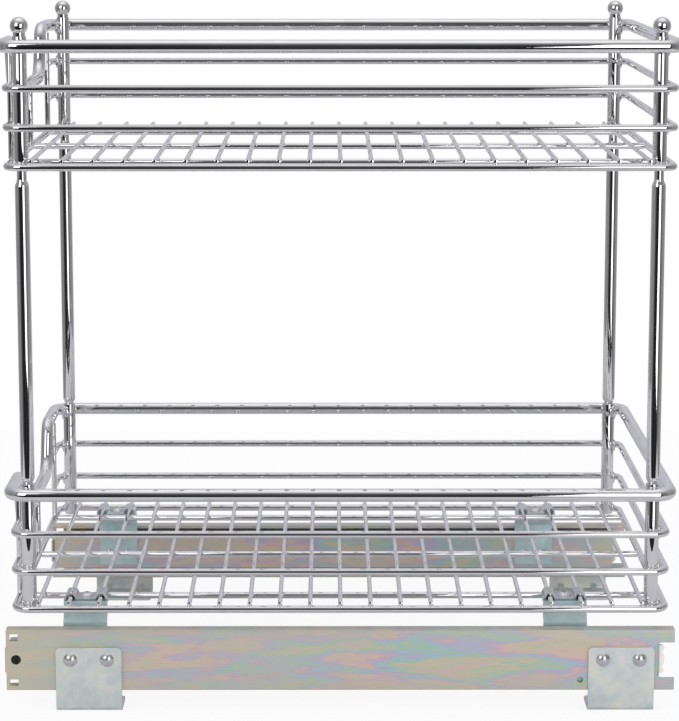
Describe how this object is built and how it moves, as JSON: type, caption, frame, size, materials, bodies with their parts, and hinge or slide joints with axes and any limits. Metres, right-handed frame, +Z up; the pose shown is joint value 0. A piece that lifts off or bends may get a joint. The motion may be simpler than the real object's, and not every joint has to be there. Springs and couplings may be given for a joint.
{
  "type": "two-tier pull-out cabinet rack",
  "caption": "Chromed wire baskets stacked on posts and carried on ball-bearing drawer slides with L-shaped screw-down feet, to pull out of a cabinet.",
  "frame": {"origin": "on the floor under the middle of the rack, level with the undersides of the feet", "axes": "+X along the slides, the way the rack pulls out; +Y across the rack; +Z up"},
  "size_m": [0.4586, 0.3008, 0.473],
  "materials": {
    "chrome_plate": "bright chrome plate",
    "yellow_zinc_steel": "yellow iridescent zinc plate",
    "blue_zinc_steel": "pale blue-white zinc plate",
    "bright_steel": "bright plated steel",
    "black_rubber": "matt moulded",
    "pale_plastic": "moulded nylon"
  },
  "bodies": {
    "cabinet_side": {"cabinet_member_near": "yellow_zinc_steel", "cabinet_member_far": "yellow_zinc_steel", "foot_near_rear": "blue_zinc_steel", "foot_near_front": "blue_zinc_steel", "foot_far_rear": "blue_zinc_steel", "foot_far_front": "blue_zinc_steel", "foot_rivets": "bright_steel", "rear_bumper_near": "black_rubber", "rear_bumper_far": "black_rubber"},
    "outer_cage_near": {"outer_ball_cage_near": "blue_zinc_steel", "outer_balls_near": "bright_steel"},
    "intermediate_near": {"intermediate_member_near": "yellow_zinc_steel", "front_stop_near": "pale_plastic"},
    "inner_cage_near": {"inner_ball_cage_near": "blue_zinc_steel", "inner_balls_near": "bright_steel"},
    "outer_cage_far": {"outer_ball_cage_far": "blue_zinc_steel", "outer_balls_far": "bright_steel"},
    "intermediate_far": {"intermediate_member_far": "yellow_zinc_steel", "front_stop_far": "pale_plastic"},
    "inner_cage_far": {"inner_ball_cage_far": "blue_zinc_steel", "inner_balls_far": "bright_steel"},
    "rack": {"drawer_member_near": "yellow_zinc_steel", "basket_bracket_near_rear": "blue_zinc_steel", "clamp_plate_near_rear": "blue_zinc_steel", "post_near_rear": "chrome_plate", "finial_near_rear": "chrome_plate", "basket_bracket_near_front": "blue_zinc_steel", "clamp_plate_near_front": "blue_zinc_steel", "post_near_front": "chrome_plate", "finial_near_front": "chrome_plate", "drawer_member_far": "yellow_zinc_steel", "basket_bracket_far_rear": "blue_zinc_steel", "clamp_plate_far_rear": "blue_zinc_steel", "post_far_rear": "chrome_plate", "finial_far_rear": "chrome_plate", "basket_bracket_far_front": "blue_zinc_steel", "clamp_plate_far_front": "blue_zinc_steel", "post_far_front": "chrome_plate", "finial_far_front": "chrome_plate", "bracket_rivets": "bright_steel", "clamp_screws": "bright_steel", "lower_rim": "chrome_plate", "lower_bottom_ring": "chrome_plate", "lower_middle_ring": "chrome_plate", "lower_top_ring": "chrome_plate", "lower_floor_wires": "chrome_plate", "lower_floor_rods": "chrome_plate", "lower_uprights": "chrome_plate", "lower_corner_tubes": "chrome_plate", "upper_rim": "chrome_plate", "upper_bottom_ring": "chrome_plate", "upper_middle_ring": "chrome_plate", "upper_top_ring": "chrome_plate", "upper_floor_wires": "chrome_plate", "upper_floor_rods": "chrome_plate", "upper_uprights": "chrome_plate", "upper_corner_tubes": "chrome_plate"}
  },
  "joints": [
    {"name": "rack_slide", "type": "slide", "parent": "cabinet_side", "child": "rack", "axis": [1, 0, 0], "range_m": [0, 0.44]},
    {"name": "outer_cage_near_slide", "type": "slide", "parent": "cabinet_side", "child": "outer_cage_near", "axis": [1, 0, 0], "range_m": [0, 0.11]},
    {"name": "intermediate_near_slide", "type": "slide", "parent": "cabinet_side", "child": "intermediate_near", "axis": [1, 0, 0], "range_m": [0, 0.22]},
    {"name": "inner_cage_near_slide", "type": "slide", "parent": "cabinet_side", "child": "inner_cage_near", "axis": [1, 0, 0], "range_m": [0, 0.33]},
    {"name": "outer_cage_far_slide", "type": "slide", "parent": "cabinet_side", "child": "outer_cage_far", "axis": [1, 0, 0], "range_m": [0, 0.11]},
    {"name": "intermediate_far_slide", "type": "slide", "parent": "cabinet_side", "child": "intermediate_far", "axis": [1, 0, 0], "range_m": [0, 0.22]},
    {"name": "inner_cage_far_slide", "type": "slide", "parent": "cabinet_side", "child": "inner_cage_far", "axis": [1, 0, 0], "range_m": [0, 0.33]}
  ],
  "couplings": [
    {"joint": "outer_cage_near_slide", "follows": "rack_slide", "ratio": 0.25},
    {"joint": "intermediate_near_slide", "follows": "rack_slide", "ratio": 0.5},
    {"joint": "inner_cage_near_slide", "follows": "rack_slide", "ratio": 0.75},
    {"joint": "outer_cage_far_slide", "follows": "rack_slide", "ratio": 0.25},
    {"joint": "intermediate_far_slide", "follows": "rack_slide", "ratio": 0.5},
    {"joint": "inner_cage_far_slide", "follows": "rack_slide", "ratio": 0.75}
  ]
}
